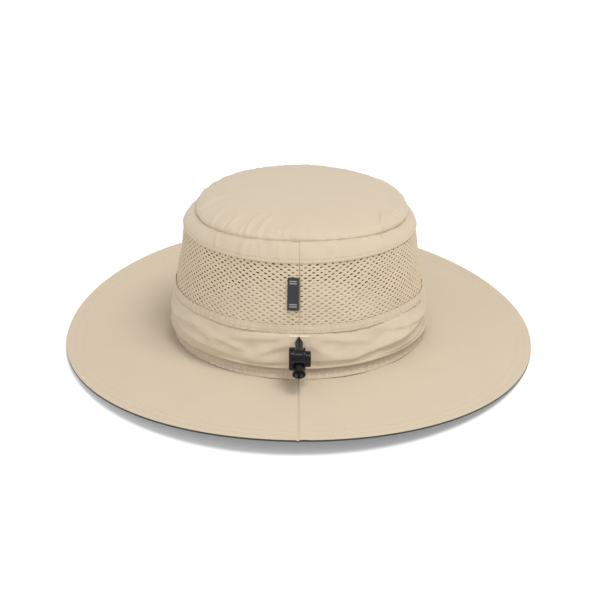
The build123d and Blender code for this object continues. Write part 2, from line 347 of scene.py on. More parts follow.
def link(material, output, target):
    material.node_tree.links.new(output, target)


def cloth_coordinates(material, uv):
    """Place on the flat cloth where the mesh has one, and otherwise in the object."""
    if uv:
        return node(material, "ShaderNodeUVMap", uv_map="Cloth").outputs["UV"]
    return node(material, "ShaderNodeTexCoord").outputs["Object"]


def woven(name, colour, shade, roughness=0.85, sheen=0.15, yarn=0.42, bump=0.35, uv=True):
    """Plain weave of yarns that far apart in millimetres, with slow changes of colour and slubs."""
    material = new_material(name, colour, roughness, sheen)
    shader = material.node_tree.nodes["Principled BSDF"]
    place = cloth_coordinates(material, uv)
    split = node(material, "ShaderNodeSeparateXYZ")
    link(material, place, split.inputs[0])
    yarns = []
    for axis in ("X", "Y"):
        turn = node(material, "ShaderNodeMath", {1: math.pi / (yarn * MM)}, operation="MULTIPLY")
        link(material, split.outputs[axis], turn.inputs[0])
        wave = node(material, "ShaderNodeMath", operation="SINE")
        link(material, turn.outputs[0], wave.inputs[0])
        yarns.append(wave)
    weave = node(material, "ShaderNodeMath", operation="MULTIPLY")
    link(material, yarns[0].outputs[0], weave.inputs[0])
    link(material, yarns[1].outputs[0], weave.inputs[1])
    slub = node(material, "ShaderNodeTexNoise", {"Scale": 700.0, "Detail": 3.0})
    link(material, place, slub.inputs["Vector"])
    height = node(material, "ShaderNodeMath", {1: 0.25}, operation="MULTIPLY_ADD")
    link(material, weave.outputs[0], height.inputs[0])
    link(material, slub.outputs["Fac"], height.inputs[2])
    bumped = node(material, "ShaderNodeBump", {"Strength": bump, "Distance": 0.00012})
    link(material, height.outputs[0], bumped.inputs["Height"])
    link(material, bumped.outputs[0], shader.inputs["Normal"])
    slow = node(material, "ShaderNodeTexNoise", {"Scale": 45.0, "Detail": 4.0})
    link(material, place, slow.inputs["Vector"])
    blend = node(material, "ShaderNodeMix", data_type="RGBA")
    blend.inputs["A"].default_value = (*colour, 1)
    blend.inputs["B"].default_value = (*[c * shade for c in colour], 1)
    link(material, slow.outputs["Fac"], blend.inputs["Factor"])
    speckle = node(material, "ShaderNodeMix", data_type="RGBA", blend_type="MULTIPLY")
    speckle.inputs["Factor"].default_value = 0.10
    link(material, blend.outputs["Result"], speckle.inputs["A"])
    link(material, slub.outputs["Fac"], speckle.inputs["B"])
    link(material, speckle.outputs["Result"], shader.inputs["Base Color"])
    return material


def grained(name, colour, roughness, scale, bump, distance, sheen=0.0, specular=0.5):
    """Moulded, knitted or spun surface with fine grain."""
    material = new_material(name, colour, roughness, sheen)
    shader = material.node_tree.nodes["Principled BSDF"]
    shader.inputs["Specular IOR Level"].default_value = specular
    place = node(material, "ShaderNodeTexCoord").outputs["Object"]
    noise = node(material, "ShaderNodeTexNoise", {"Scale": scale, "Detail": 4.0})
    link(material, place, noise.inputs["Vector"])
    bumped = node(material, "ShaderNodeBump", {"Strength": bump, "Distance": distance})
    link(material, noise.outputs["Fac"], bumped.inputs["Height"])
    link(material, bumped.outputs[0], shader.inputs["Normal"])
    ramp = node(material, "ShaderNodeMapRange", {"To Min": roughness * 0.85, "To Max": roughness * 1.15})
    link(material, noise.outputs["Fac"], ramp.inputs["Value"])
    link(material, ramp.outputs[0], shader.inputs["Roughness"])
    return material


TAN = (0.66, 0.548, 0.402)
CHARCOAL = (0.045, 0.05, 0.053)

shell = woven("Outer fabric", TAN, 0.95)
mesh_knit = grained("Vent mesh", (0.63, 0.515, 0.37), 0.9, 2500, 0.25, 0.0001, specular=0.2)
underbrim = woven("Underbrim fabric", CHARCOAL, 0.8, bump=0.3)
knit = woven("Sweatband knit", (0.085, 0.078, 0.068), 0.8, yarn=0.8, bump=0.6)
binding = woven("Binding tape", (0.62, 0.50, 0.36), 0.92, yarn=0.6)
lining = grained("Interlining", (0.75, 0.73, 0.68), 0.9, 900, 0.3, 0.0002)
label_cloth = woven("Label weave", (0.037, 0.037, 0.039), 0.8, roughness=0.8, sheen=0.03, yarn=0.3, bump=0.5)
label_bar = woven("Label bar", (0.32, 0.33, 0.33), 0.9, roughness=0.7, yarn=0.3, bump=0.5)
satin = woven("Care label satin", (0.78, 0.78, 0.76), 0.96, roughness=0.5, yarn=0.2, bump=0.2)
thread = grained("Sewing thread", (0.70, 0.575, 0.42), 0.7, 6000, 0.5, 0.00005, sheen=0.2)
pale_thread = grained("Bartack thread", (0.80, 0.69, 0.53), 0.7, 6000, 0.5, 0.00005, sheen=0.2)
dark_thread = grained("Dark thread", (0.05, 0.052, 0.055), 0.7, 6000, 0.5, 0.00005, sheen=0.2)
plastic = grained("Lock plastic", (0.006, 0.006, 0.0065), 0.22, 1800, 0.05, 0.00003, specular=0.3)
rubber = grained("Cord end", (0.007, 0.007, 0.0075), 0.30, 1500, 0.08, 0.00005, specular=0.3)
steel = grained("Spring steel", (0.55, 0.55, 0.56), 0.3, 3000, 0.05, 0.00002)
steel.node_tree.nodes["Principled BSDF"].inputs["Metallic"].default_value = 1.0


def braided():
    """Braid of a round cord, from crossing waves along and round it."""
    material = new_material("Cord braid", (0.010, 0.010, 0.011), 0.6, 0.15)
    shader = material.node_tree.nodes["Principled BSDF"]
    place = node(material, "ShaderNodeTexCoord").outputs["Object"]
    sides = []
    for turn in (0.9, -0.9):
        mapping = node(material, "ShaderNodeMapping", {"Rotation": (0.4, 0.0, turn)})
        link(material, place, mapping.inputs["Vector"])
        wave = node(material, "ShaderNodeTexWave", {"Scale": 420.0, "Distortion": 0.6})
        link(material, mapping.outputs[0], wave.inputs["Vector"])
        sides.append(wave)
    braid = node(material, "ShaderNodeMath", operation="MAXIMUM")
    link(material, sides[0].outputs["Fac"], braid.inputs[0])
    link(material, sides[1].outputs["Fac"], braid.inputs[1])
    bumped = node(material, "ShaderNodeBump", {"Strength": 0.8, "Distance": 0.0002})
    link(material, braid.outputs[0], bumped.inputs["Height"])
    link(material, bumped.outputs[0], shader.inputs["Normal"])
    return material


cord_braid = braided()


# ---------------------------------------------------------------- camera and cords
def add_camera():
    target = np.array([0.0, 0.0, 0.0265])
    elevation = math.radians(23.53)
    distance = 1.3768
    data = bpy.data.cameras.new("Camera")
    data.lens = 118.4
    data.sensor_width = 36.0
    data.shift_x = 0.0015
    camera = bpy.data.objects.new("Camera", data)
    bpy.context.scene.collection.objects.link(camera)
    camera.location = target + distance * np.array([0, -math.cos(elevation), math.sin(elevation)])
    camera.rotation_euler = (math.pi / 2 - elevation, 0, 0)
    camera.rotation_euler.rotate_axis("Z", math.radians(0.43))
    bpy.context.scene.camera = camera


def curve_piece(name, points, diameter, material, kind="NURBS", cyclic=False):
    data = bpy.data.curves.new(name, "CURVE")
    data.dimensions = "3D"
    data.bevel_depth = diameter / 2 * MM
    data.bevel_resolution = 5
    data.resolution_u = 12
    data.use_fill_caps = True
    spline = data.splines.new(kind)
    spline.points.add(len(points) - 1)
    for control, point in zip(spline.points, points):
        control.co = (*[c * MM for c in point], 1)
    if kind == "NURBS":
        spline.order_u = 3
        spline.use_endpoint_u = not cyclic
    spline.use_cyclic_u = cyclic
    data.materials.append(material)
    piece = bpy.data.objects.new(name, data)
    bpy.context.scene.collection.objects.link(piece)
    return piece


def along_strands(x, distance, rise=0.0):
    """Point beside the strands' centre, that far from where they leave the band."""
    c, s = math.cos(CORD_DROP), math.sin(CORD_DROP)
    return (x, EXIT[0] - distance * c - rise * s, EXIT[1] - distance * s + rise * c)


def make_knot(name, x):
    """Tight knot at a strand's end, inside the cord end."""
    turn = np.linspace(0, 2 * math.pi, 18, endpoint=False)
    side = (np.sin(turn) + 2 * np.sin(2 * turn)) * 0.30
    rise = (np.cos(turn) - 2 * np.cos(2 * turn)) * 0.30
    reach = -np.sin(3 * turn) * 0.55
    points = [along_strands(x + a, KNOT_CENTRE + c, b) for a, b, c in zip(side, rise, reach)]
    return keep(curve_piece(name, points, 1.3, cord_braid, cyclic=True), "cord_tail", "cord_black")


def make_cords():
    knots = [make_knot("knot_left", KNOT_X[0]), make_knot("knot_right", KNOT_X[1])]
    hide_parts("cord_knots")
    for side, name, x, knot, knot_x in zip((-1, 1), ("strand_left", "strand_right"), STRAND_X, knots, KNOT_X):
        points = [
            along_strands(x, -STRAND_INSIDE),
            along_strands(x + side * 0.15, 2.5, 0.25),
            along_strands(x + side * 0.1, 8.0, -0.15),
            along_strands(x, 17.0),
            along_strands(x, 22.5),
            along_strands((x + knot_x) / 2, STRAND_END - 2.2),
            along_strands(knot_x, STRAND_END),
        ]
        strand = keep(curve_piece(name + "_cord", points, CORD_DIAMETER, cord_braid),
                      "cord_tail", "cord_black", name)
        start = [c * MM for c in along_strands(x, 0.0)]


def make_drawcord():
    """The cord's hidden run round the tunnel."""
    phi = np.linspace(0.035, 2 * math.pi - 0.035, 49)
    points = crown(CORD_RING[0] * np.sin(phi), -CORD_RING[1] * np.cos(phi), CORD_HEIGHT)
    piece = curve_piece("tunnel_cord", points.tolist(), CORD_DIAMETER, cord_braid)
    keep(piece, "hat", "cord_black", "drawcord")


def make_spring():
    """Return spring of the lock: a coil along X, built at rest; the button presses it flat as it goes in."""
    count, sides = 121, 12
    turn = np.linspace(0, 2 * math.pi * SPRING_TURNS, count)[:, None]
    middle = np.linspace(BORE_END + SPRING_WIRE, PLUNGER_BACK - SPRING_WIRE, count)[:, None]
    round_wire = np.linspace(0, 2 * math.pi, sides, endpoint=False)
    wire = np.full((count, 1), SPRING_WIRE / 2)
    wire[[0, -1]] = 0.02
    reach = SPRING_RADIUS + wire * np.cos(round_wire)
    x = middle + wire * np.sin(round_wire)
    points = along_strands(x, LOCK_CENTRE + reach * np.cos(turn), reach * np.sin(turn))
    points = np.stack(points, axis=-1).reshape(-1, 3)
    piece = add_mesh("return_spring", points, grid_faces(count, sides, False, True), steel)
    keep(piece, "lock", "spring_steel", "lock_spring")
    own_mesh(piece)


add_camera()
make_cords()
make_drawcord()
make_spring()


# ---------------------------------------------------------------- crown
def back_seam(s):
    return groove(s, 0.42, 0.55)


def base_relief(s, w):
    gathers = 0.36 * waves(s, w, 4.2, 60, 11) + 0.22 * waves(s, w, 9, 60, 12)
    mid = stitched(s, w - BASE_ROW, 0.45, 0.7)
    tuck = groove(w - BAND_HEIGHTS[0], 0.5, 0.9)
    return gathers * (0.45 + 0.55 * np.clip((6.2 - w) / 4, 0, 1)) + mid + tuck + back_seam(s)


def place_base(s, w, depth):
    return wall_point([SEAM_BASE, BASE_BAND_TOP], s, w, base_relief(s, w) - depth)


def band_relief(s, w):
    """The cord tunnel: full cloth that overhangs the base strip, with drag folds from the slit."""
    up = np.clip((w - BAND_BOTTOM[0]) / (BAND_TOP[0] - BAND_BOTTOM[0]), 0, 1)
    full = 1.7 * np.sin(math.pi * up ** 0.75) ** 0.8 + 0.9 * (1 - up) ** 2
    soft = 0.7 * waves(s, w, 44, 40, 21) + 0.42 * waves(s, w, 15, 18, 22) * np.sin(math.pi * up)
    folds = (
        fold(s, w, (0, 25), (-34, 11), 1.1, 3.0, 2.2, 1.0)
        + fold(s, w, (-2, 12.5), (-44, 11), 1.5, 4.2, 1.5, -0.8)
        + fold(s, w, (-3, 27), (-52, 22), 0.9, 2.6, 1.9, 0.8)
        + fold(s, w, (-30, 16), (-74, 24), 1.0, 2.4, 1.7, -0.6)
        + fold(s, w, (5, 24), (26, 13), 0.7, 2.8, 2.4, -0.6)
        + fold(s, w, (3, 12.5), (44, 11.2), 1.6, 4.4, 1.3, 0.6)
        + fold(s, w, (9, 26), (52, 20), 0.8, 2.6, 2.0, 1.0)
        + fold(s, w, (30, 11.5), (120, 18), 2.8, 4.6, 1.1, 1.8)
        + fold(s, w, (44, 8.5), (112, 10.5), 1.2, 1.6, 1.0, 0.4)
        + fold(s, w, (-40, 11.0), (-112, 14.5), 2.3, 4.4, 1.2, 1.0)
        + fold(s, w, (58, 26), (128, 20), 1.5, 2.8, 1.6, -1.0)
        + fold(s, w, (-66, 25), (-135, 19), 1.5, 2.8, 1.6, -1.0)
        + fold(s, w, (-52, 17), (-90, 26), 1.0, 2.6, 1.6, -1.0)
        + fold(s, w, (150, 12), (230, 16), 1.8, 4.6, 1.4, 1.0)
        + fold(s, w, (-150, 13), (-225, 17), 1.8, 4.6, 1.4, 1.0)
    )
    roll = 1.1 * np.exp(-((w - BAND_HEIGHTS[0] - 0.3) / 0.9) ** 2)
    tuck = groove(w - BAND_TOP[0], 0.8, 1.0)
    return full + soft * np.sin(math.pi * np.clip(up, 0.06, 0.94)) + folds + roll + tuck


def slit_opening(s, w):
    """How far each side of the slit is drawn apart by the strands."""
    up = np.clip((w - 21.6) / 6.4, 0, 1)
    half = 2.5 * np.sin(math.pi * np.clip(up ** 0.62, 0, 1)) ** 0.75 * (1 - 0.25 * up)
    return np.sign(s) * half * np.exp(-(np.abs(s) / 6.0) ** 1.5)


def place_band(s, w, depth):
    wall = [BAND_BOTTOM, BAND_TOP]
    opened = slit_opening(s, w)
    return wall_point(wall, s + opened, w, band_relief(s, w) + back_seam(s) - depth)


def vent_relief(s, w):
    return 0.55 * waves(s, w, 60, 45, 31) + 0.12 * waves(s, w, 14, 14, 32) + groove(s, 0.5, 0.9)


def place_tape(s, w, depth):
    puckers = 0.24 * waves(s, w, 4.0, 50, 41) + 0.16 * waves(s, w, 9, 50, 42)
    rows = sum(stitched(s, w - height, 0.32) for height in TAPE_ROWS)
    out = 0.75 + vent_relief(s, w) + puckers + rows - depth
    return wall_point([MESH_BOTTOM, MESH_TOP], s, w, out)


def place_panel(s, w, depth):
    relief = 0.4 * waves(s, w, 55, 40, 51) - depth
    return wall_point([MESH_BOTTOM, MESH_TOP], s, w, relief)


def slump(s, up):
    """The crown leans in at its sides, more towards its top and on its left."""
    sides = np.sin(angle_at(s)) ** 2
    return -(1.6 * sides + 2.4 * np.exp(-((s + 145) / 60) ** 2)) * up ** 1.5


def seam_drop(s):
    """How much lower the seam round the tip runs at the sides than at the back."""
    side = np.sin(angle_at(s))
    return 3.6 * side ** 2 + 1.6 * np.clip(side, 0, 1) ** 2


def tip_seam(s, distance):
    """The seam round the tip, drawn in by its stitches, and a little uneven."""
    return groove(distance, 0.9, 0.9) + 0.35 * waves(s, 0 * s, 26, 60, 63) * np.exp(-(distance / 5) ** 2)


def upper_relief(s, w):
    up = np.clip((w - UPPER_HEM) / (UPPER_TOP[0] - UPPER_HEM), 0, 1)
    soft = 0.55 * waves(s, w, 30, 60, 61) + 0.34 * waves(s, w, 11, 40, 62) * (0.4 + 0.6 * up)
    rows = sum(stitched(s, w - height, 0.38) for height in UPPER_ROWS)
    free = 1 - np.exp(-((w - UPPER_TOP[0]) / 1.6) ** 2)
    folds = (
        fold(s, w, (69, 95), (64, 75), 1.7, 2.6, 1.0)
        + fold(s, w, (-40, 90), (-44, 75), 0.8, 2.2, 2.2)
        + fold(s, w, (-72, 93), (-66, 75), 1.0, 2.2, 2.2)
        + fold(s, w, (22, 90), (20, 77), 0.6, 1.8, 1.8)
        + fold(s, w, (-14, 90), (-15, 77), 0.6, 1.6, 1.6)
        + fold(s, w, (104, 92), (98, 76), 0.9, 2.0, 2.0)
    )
    cloth = 0.6 * np.sin(math.pi * up) + soft * (0.5 + 0.5 * np.sin(math.pi * up))
    return (cloth + folds) * free + rows + tip_seam(s, w - UPPER_TOP[0]) + back_seam(s)


def upper_wall(s, w, out):
    """Point `out` from the upper band's wall, which leans in and drops at the sides."""
    up = np.clip((w - UPPER_HEM) / (UPPER_TOP[0] - UPPER_HEM), 0, 1.05)
    point = wall_point([UPPER_BOTTOM, UPPER_TOP], s, w, out + slump(s, np.minimum(up, 1)))
    return point - (seam_drop(s) * up ** 2)[..., None] * CROWN_UP


def place_upper(s, w, depth):
    return upper_wall(s, w, 0.5 + upper_relief(s, w) - depth)


def place_tip_tape(s, w, depth):
    """Binding inside the crown, just under the tip's seam."""
    return upper_wall(s, w, -TAPE_INSET - depth)


def tip_relief(s, inward):
    """Relief of the tip: radial puckers at its seam and the soft folds of the loose cloth."""
    near = np.exp(-inward / 7.0)
    puckers = near * (0.6 * waves(s, inward, 7.5, 50, 71) + 0.5 * waves(s, inward, 16, 60, 72))
    free = 1 - np.exp(-(inward / 1.4) ** 2)
    loose = 0.5 * waves(s, inward, 60, 70, 73) * np.exp(-((inward - 26) / 22) ** 2)
    side = np.sin(angle_at(s))
    loose = loose + (1.5 + 0.9 * side) * side ** 2 * np.exp(-((inward - 5.5) / 5.5) ** 2)
    folds = (
        fold(s, inward, (-33, -2), (-30, 28), 1.4, 1.6, 3.0, 1.5)
        + fold(s, inward, (-41, -2), (-45, 28), 1.3, 3.0, 1.6, -1.5)
        + fold(s, inward, (-58, -2), (-66, 20), 1.0, 3.0, 1.7)
        + fold(s, inward, (-82, -2), (-92, 22), 0.9, 3.0, 1.8)
        + fold(s, inward, (-26, 2.6), (18, 2.2), 0.9, 0.8, 1.8)
        + fold(s, inward, (-20, 8), (-4, 13), 0.7, 1.8, 2.4)
        + fold(s, inward, (64, -3), (97, 15), 1.7, 1.3, 3.4, 2.5)
        + fold(s, inward, (104, 0), (118, 26), 1.0, 3.0, 3.0)
        + fold(s, inward, (-116, 0), (-128, 28), 1.2, 3.0, 3.0)
    )
    return (puckers + loose + folds) * free + tip_seam(s, inward)


def tip_profile(rings):
    """Half width share, height and inward distance of the dome's section from seam to middle."""
    q = np.linspace(0, 1, rings) ** 1.15
    corners = np.array([(1.0, 0.0), (0.995, 0.50), (0.79, 0.96), (0.0, 1.0)])
    weights = np.stack([(1 - q) ** 3, 3 * q * (1 - q) ** 2, 3 * q * q * (1 - q), q ** 3], axis=1)
    share, height = (weights @ corners).T
    height = height * TIP_HEIGHT
    steps = np.hypot(np.diff(share * UPPER_TOP[1]), np.diff(height))
    inward = np.concatenate([[0], np.cumsum(steps)])
    slope = np.stack([-np.gradient(height), np.gradient(share * UPPER_TOP[1])], axis=1)
    slope /= np.linalg.norm(slope, axis=1, keepdims=True)
    return share, height, inward, -slope


def place_tip(s, ring, depth):
    """Point of the dome at the ring numbered from the seam."""
    share, height, inward, normal = tip_profile(TIP_RINGS)
    pick = [np.interp(ring, np.arange(TIP_RINGS), row_) for row_ in (share, height, inward)]
    side = np.interp(ring, np.arange(TIP_RINGS), normal[:, 0])
    rise = np.interp(ring, np.arange(TIP_RINGS), normal[:, 1])
    phi = angle_at(s)
    out = tip_relief(s, pick[2]) * np.clip(pick[0] * 3, 0, 1) - depth
    sag = slump(s, 1.0) * pick[0] ** 3 + 0.5 * pick[0]
    half_x = UPPER_TOP[1] * pick[0] + sag + out * side
    half_y = UPPER_TOP[2] * pick[0] + sag + out * side
    height = TIP_SEAM - 0.35 + pick[1] + out * rise - seam_drop(s) * pick[0] ** 6
    return crown(half_x * np.sin(phi), -half_y * np.cos(phi), height)


def make_tip():
    columns = 960
    s = np.linspace(-HALF_ROUND, HALF_ROUND, columns, endpoint=False)[:, None]
    ring = np.concatenate([np.arange(TIP_RINGS - 1), np.arange(TIP_RINGS - 1)[::-1]]) + 0 * s
    depth = np.concatenate([np.zeros(TIP_RINGS - 1), np.full(TIP_RINGS - 1, FABRIC)]) + 0 * s
    points = place_tip(s + 0 * ring, ring, depth)
    count = ring.shape[1]
    faces = grid_faces(columns, count, True, True)
    middle = TIP_RINGS - 2
    faces = faces[faces[:, 0] % count != middle][:, ::-1].tolist()
    top, under = columns * count, columns * count + 1
    for i in range(columns):
        j = (i + 1) % columns
        faces.append((top, i * count + middle, j * count + middle)[::-1])
        faces.append((under, j * count + middle + 1, i * count + middle + 1)[::-1])
    centre = crown(0.0, 0.0, TIP_SEAM + TIP_HEIGHT)
    flat = points.reshape(-1, 3)
    points = np.concatenate([flat, [centre, centre - [0, 0, FABRIC]]])
    return add_mesh("tip_cloth", points, faces, shell, points[:, :2])


def full_span():
    """From the centre front all round to the centre front."""
    return (-HALF_ROUND + END_GAP, HALF_ROUND - END_GAP)


def all_round(place, name, heights, thickness, columns, rows, material):
    """Strip all round the hat whose ends meet at the centre back."""
    span = (END_GAP, 2 * HALF_ROUND - END_GAP)
    return strip(name, place, span, heights, thickness, columns, rows, material)


def close_border(points, faces):
    """Quads that join the front and back of a thick sheet round its open border."""
    edges = np.stack([faces, np.roll(faces, -1, axis=1)], axis=-1).reshape(-1, 2)
    first, count = np.unique(np.sort(edges, axis=1), axis=0, return_index=True, return_counts=True)[1:]
    border = edges[first[count == 1]]
    border = border[points[border[:, 0], 2] > 0]
    index = {tuple(point): number for number, point in enumerate(points.tolist())}
    back = np.array([index[(x, y, -z)] for x, y, z in points[border.ravel()].tolist()]).reshape(-1, 2)
    return np.column_stack([border[:, 1], border[:, 0], back[:, 0], back[:, 1]])


def holed_cell():
    """Points and faces of a cell of the knit with an oval hole, in shares of the cell."""
    walk = [(0, 0), (1, 0), (2, 0), (3, 0), (3, 1), (3, 2), (3, 3), (2, 3), (1, 3), (0, 3), (0, 2), (0, 1)]
    edge = np.array(walk) / 3
    turn = np.arctan2(edge[:, 1] - 0.5, edge[:, 0] - 0.5)
    oval = np.stack([0.41 * np.cos(turn), 0.245 * np.sin(turn) + 0.11 * np.cos(turn)], axis=1)
    hole = 0.5 + oval
    middle = 0.35 * edge + 0.65 * hole
    swell = KNIT_SWELL
    rings = [(edge, swell), (middle, swell * 0.78), (hole, 0.0), (middle, -swell * 0.78), (edge, -swell)]
    points = np.concatenate([np.column_stack([ring, np.full(12, depth)]) for ring, depth in rings])
    faces = grid_faces(12, 5, True, False)
    return points, (faces % 5) * 12 + faces // 5


def plain_cell():
    """The same for a cell without a hole."""
    lattice = np.array([(a, b) for a in range(4) for b in range(4)]) / 3
    points = np.concatenate([np.column_stack([lattice, np.full(16, d)]) for d in (KNIT_SWELL, -KNIT_SWELL)])
    front = grid_faces(4, 4, False, False)
    return points, np.concatenate([front, front[:, ::-1] + 16])


def knit_lattice(columns, rows):
    """Points and faces of the whole knit, in cells: holes in alternate cells, none beside the end."""
    i, j = [a.ravel() for a in np.meshgrid(np.arange(columns), np.arange(rows), indexing="ij")]
    holed = ((i + j) % 2 == 0) & (i < columns - 1)
    parts, faces, base = [], [], 0
    rng = np.random.default_rng(33)
    for (pattern, quads), chosen in ((holed_cell(), holed), (plain_cell(), ~holed)):
        corner = np.stack([i[chosen], j[chosen], 0 * i[chosen]], axis=1)
        points = pattern[None] + corner[:, None]
        if chosen is holed:
            size = rng.uniform(0.72, 1.08, len(corner))[:, None, None]
            centre = corner[:, None, :2] + 0.5
            points[:, 12:48, :2] = centre + (points[:, 12:48, :2] - centre) * size
        parts.append(points.reshape(-1, 3))
        first = base + len(pattern) * np.arange(len(corner))[:, None, None]
        faces.append((quads[None] + first).reshape(-1, 4))
        base += len(parts[-1])
    points, where = np.unique(np.round(np.concatenate(parts), 4), axis=0, return_inverse=True)
    faces = where.ravel()[np.concatenate(faces)]
    return points, np.concatenate([faces, close_border(points, faces)])


def make_vent(name, side):
    """Knitted mesh panel on one side, from the centre back to the front panel's seam."""
    start, end = 0.10, FRONT_SEAM_S - 0.3
    low, high = VENT_HEIGHTS
    columns, rows = round((end - start) / HOLE_PITCH[0]), round((high - low) / HOLE_PITCH[1])
    points, faces = knit_lattice(columns, rows)
    s = side * (start + points[:, 0] * (end - start) / columns)
    w = low + points[:, 1] * (high - low) / rows
    place = wall_point([MESH_BOTTOM, MESH_TOP], s, w, points[:, 2] - 0.42 + vent_relief(s, w))
    if side < 0:
        faces = faces[:, ::-1]
    return add_mesh(name, place, faces, mesh_knit, np.stack([s, w], axis=1))


def make_crown():
    keep(make_tip(), "hat", "shell_fabric", "crown_tip")
    keep(all_round(place_upper, "upper_band_cloth", UPPER_HEIGHTS, FABRIC, 1100, 30, shell),
         "hat", "shell_fabric", "upper_band")
    keep(make_vent("vent_left", -1), "hat", "vent_mesh", "mesh_panel_left")
    keep(make_vent("vent_right", 1), "hat", "vent_mesh", "mesh_panel_right")
    front = (FRONT_SEAM_S, 2 * HALF_ROUND - FRONT_SEAM_S)
    keep(strip("front_panel_cloth", place_panel, front, FRONT_HEIGHTS, FABRIC, 160, 50, shell),
         "hat", "shell_fabric", "front_panel")
    vents = (-FRONT_SEAM_S, FRONT_SEAM_S)
    tape = strip("tape_cloth", place_tape, vents, VENT_TAPE_HEIGHTS, 0.6, 1100, 12, shell)
    keep(tape, "hat", "shell_fabric", "mesh_tape")
    keep(all_round(place_band, "tunnel_cloth", BAND_HEIGHTS, FABRIC, 1200, 56, shell),
         "hat", "shell_fabric", "lower_band")
    keep(all_round(place_base, "base_strip", BASE_HEIGHTS, FABRIC, 1500, 16, shell),
         "hat", "shell_fabric", "base_band")


make_crown()


# ---------------------------------------------------------------- brim
def brim_relief(phi, inward):
    s = phi / math.pi * HALF_ROUND
    x = 120.0 * np.sin(phi)
    behind = np.cos(phi) > 0
    soft = 0.40 * waves(s, inward, 70, 160, 81) + 0.12 * waves(s, inward, 22, 60, 82)
    holes = 0.5 + 0.5 * np.cos(phi * RIM_RADIUS * math.pi * STITCH_COUNT / HALF_ROUND)
    rows = sum(groove(inward - inset, 0.45, 0.6) for inset in RIM_ROWS) * (0.5 + 0.6 * holes)
    near = sum(np.exp(-np.abs(inward - inset) / 2.5) for inset in RIM_ROWS)
    puckers = 0.10 * waves(s, inward, 2.6, 30, 83) * near
    seam = np.where(behind, groove(x, 0.9, 0.55) + 0.25 * np.exp(-((x - 3.0) / 2.6) ** 4), 0)
    return soft * np.clip(inward / 14, 0, 1) * 0.9 + rows + puckers + seam


def brim_ply(name, low, high, inset, relief_share, material, columns=680, rows=76):
    """One ply between two heights above the brim's lower face; its rolled rim is `inset` from the brim's."""
    beside = np.linspace(SEAM_ANGLE, math.pi, columns)
    phi = np.concatenate([-beside[:0:-1], np.linspace(-SEAM_ANGLE, SEAM_ANGLE, 41), beside[1:-1]])[:, None]
    rim_roll = np.array([(0.30, 0.02), (0.06, 0.18), (0.0, 0.5), (0.06, 0.82), (0.30, 0.98)])
    across = np.linspace(0, 1, rows) ** 1.25
    width = brim_width(phi)
    outer = inset + 0.7 + across * (width - inset - 1.0)
    inward = np.concatenate([outer[:, ::-1], inset + rim_roll[:, 0] + 0 * phi, outer], axis=1)
    upper = high(outer[:, ::-1]) if callable(high) else high + 0 * outer
    edge = upper[:, -1:] - (upper[:, -1:] - low) * rim_roll[:, 1]
    z = np.concatenate([upper, edge, low + 0 * outer], axis=1)
    lifted = relief_share * brim_relief(phi + 0 * inward, inward)
    points = brim_point(phi + 0 * inward, inward, z + lifted)
    count = inward.shape[1]
    faces = grid_faces(len(phi), count, True, True)[:, ::-1]
    return add_mesh(name, points.reshape(-1, 3), faces, material, points.reshape(-1, 3)[:, :2])


def under_face(inward):
    """Inner face of the underside: its seam allowance fills the rim outside the interlining."""
    return 0.64 + (PLY_SPLIT - 0.03 - 0.64) / (1 + np.exp((inward - 2.0) / 0.18))


def make_brim():
    keep(brim_ply("brim_top_cloth", PLY_SPLIT, BRIM_THICK, 0.0, 1.0, shell),
         "hat", "shell_fabric", "brim_top")
    keep(brim_ply("brim_interlining", 0.72, 1.22, 3.0, 0.55, lining, 300, 30),
         "hat", "interlining", "brim_core")
    keep(brim_ply("brim_under_cloth", 0.0, under_face, 0.0, 0.55, underbrim),
         "hat", "underbrim_fabric", "brim_underside")


make_brim()


# ---------------------------------------------------------------- inside of the crown
def place_sweatband(s, w, depth):
    up = np.clip((w + 2.2) / 35.2, 0, 1)
    puff = 0.25 * np.sin(math.pi * up) + 0.15 * waves(s, w, 20, 40, 91)
    return wall_point(SWEATBAND, s, w, puff - 0.45 - depth)


def sweatband_inside(s, w, depth):
    """The sweatband's face towards the head, where a negative depth stands off it."""
    return place_sweatband(s, w, 1.0 - depth)


def inside_wall(sections, inset):
    def place(s, w, depth):
        return wall_point(sections, s, w, -inset - depth)
    return place


def make_inside():
    keep(all_round(place_sweatband, "sweatband_cloth", SWEATBAND_HEIGHTS, 1.0, 500, 30, knit),
         "hat", "sweatband_knit", "sweatband")
    tip_tape = strip("tip_tape", place_tip_tape, full_span(), TIP_TAPE_HEIGHTS, 0.5, 400, 8, binding)
    keep(tip_tape, "hat", "binding_tape", "tip_seam_binding")
    back_tape = strip("back_tape", inside_wall([MESH_BOTTOM, MESH_TOP], 1.3),
                      (-BACK_TAPE_HALF, BACK_TAPE_HALF), BACK_TAPE_HEIGHTS, 0.5, 16, 60, binding)
    keep(back_tape, "hat", "binding_tape", "back_seam_binding")
    label = strip("care_label_cloth", inside_wall([SWEATBAND[2], SWEATBAND[3]], 1.6), CARE_LABEL_X,
                  CARE_LABEL_HEIGHTS, 0.35, 60, 24, satin)
    keep(label, "hat", "care_label_satin", "care_label")


make_inside()


